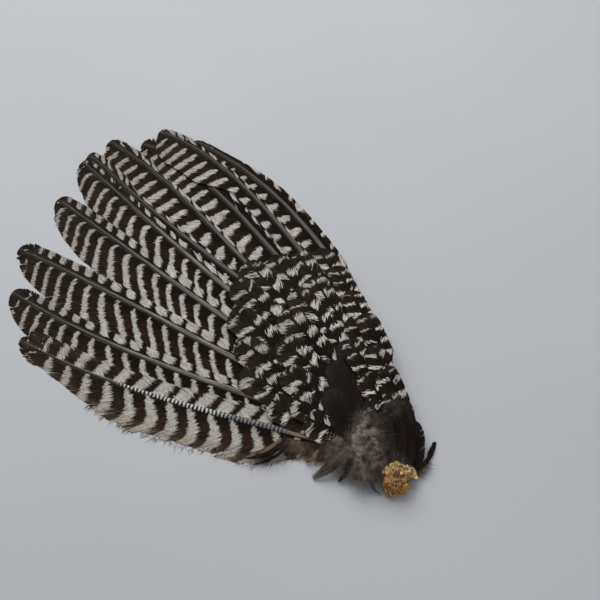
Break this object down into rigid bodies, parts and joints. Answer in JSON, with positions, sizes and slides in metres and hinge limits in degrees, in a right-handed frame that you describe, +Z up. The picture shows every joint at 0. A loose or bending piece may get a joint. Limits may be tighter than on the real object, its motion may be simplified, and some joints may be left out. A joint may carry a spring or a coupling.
{
  "type": "dried turkey wing",
  "caption": "Dried turkey wing with barred flight feathers fanned out from the hand, under rows of coverts, with dark feathers, down and dried tissue at the cut wrist. It lies flat.",
  "frame": {"origin": "on the flat underside of the hand, under the middle of the wrist, at the level of the surface that the wing lies on", "axes": "+Z up, out of the wing's upper side; the fan opens towards -X and +Y, with the innermost flight feather nearest -X and the leading edge nearest +Y"},
  "size_m": [0.3783, 0.385, 0.0259],
  "materials": {
    "barred_vane": "dark brown vanes with white bars",
    "dark_vane": "plain dark brown vanes with a faint gloss",
    "grey_vane": "dull grey brown vanes with pale bars",
    "down": "grey brown fluff",
    "tissue": "dried, crumbly and yellow",
    "skin": "dried skin"
  },
  "bodies": {
    "root": {"hand": "skin", "under_covert_01": "grey_vane", "under_covert_02": "grey_vane", "under_covert_03": "grey_vane", "under_covert_04": "grey_vane", "under_covert_05": "grey_vane", "flight_feather_01": "barred_vane", "flight_feather_02": "barred_vane", "flight_feather_03": "barred_vane", "flight_feather_04": "barred_vane", "flight_feather_05": "barred_vane", "flight_feather_06": "barred_vane", "flight_feather_07": "barred_vane", "flight_feather_08": "barred_vane", "flight_feather_09": "barred_vane", "flight_feather_10": "barred_vane", "greater_covert_01": "barred_vane", "greater_covert_02": "barred_vane", "greater_covert_03": "barred_vane", "greater_covert_04": "barred_vane", "greater_covert_05": "barred_vane", "greater_covert_06": "barred_vane", "greater_covert_07": "barred_vane", "greater_covert_08": "barred_vane", "greater_covert_09": "barred_vane", "median_covert_01": "barred_vane", "median_covert_02": "barred_vane", "median_covert_03": "barred_vane", "median_covert_04": "barred_vane", "median_covert_05": "barred_vane", "median_covert_06": "barred_vane", "median_covert_07": "barred_vane", "median_covert_08": "barred_vane", "thumb_feather_01": "dark_vane", "thumb_feather_02": "dark_vane", "thumb_feather_03": "dark_vane", "leading_covert_01": "barred_vane", "leading_covert_02": "barred_vane", "leading_covert_03": "barred_vane", "leading_covert_04": "barred_vane", "leading_covert_05": "barred_vane", "leading_covert_06": "barred_vane", "leading_covert_07": "barred_vane", "leading_covert_08": "barred_vane", "leading_covert_09": "barred_vane", "leading_covert_10": "barred_vane", "wrist_feather_01": "dark_vane", "wrist_feather_02": "dark_vane", "wrist_feather_03": "dark_vane", "wrist_feather_04": "dark_vane", "wrist_feather_05": "dark_vane", "loose_feather": "dark_vane", "dried_tissue": "tissue", "down_tuft": "down"}
  },
  "joints": []
}
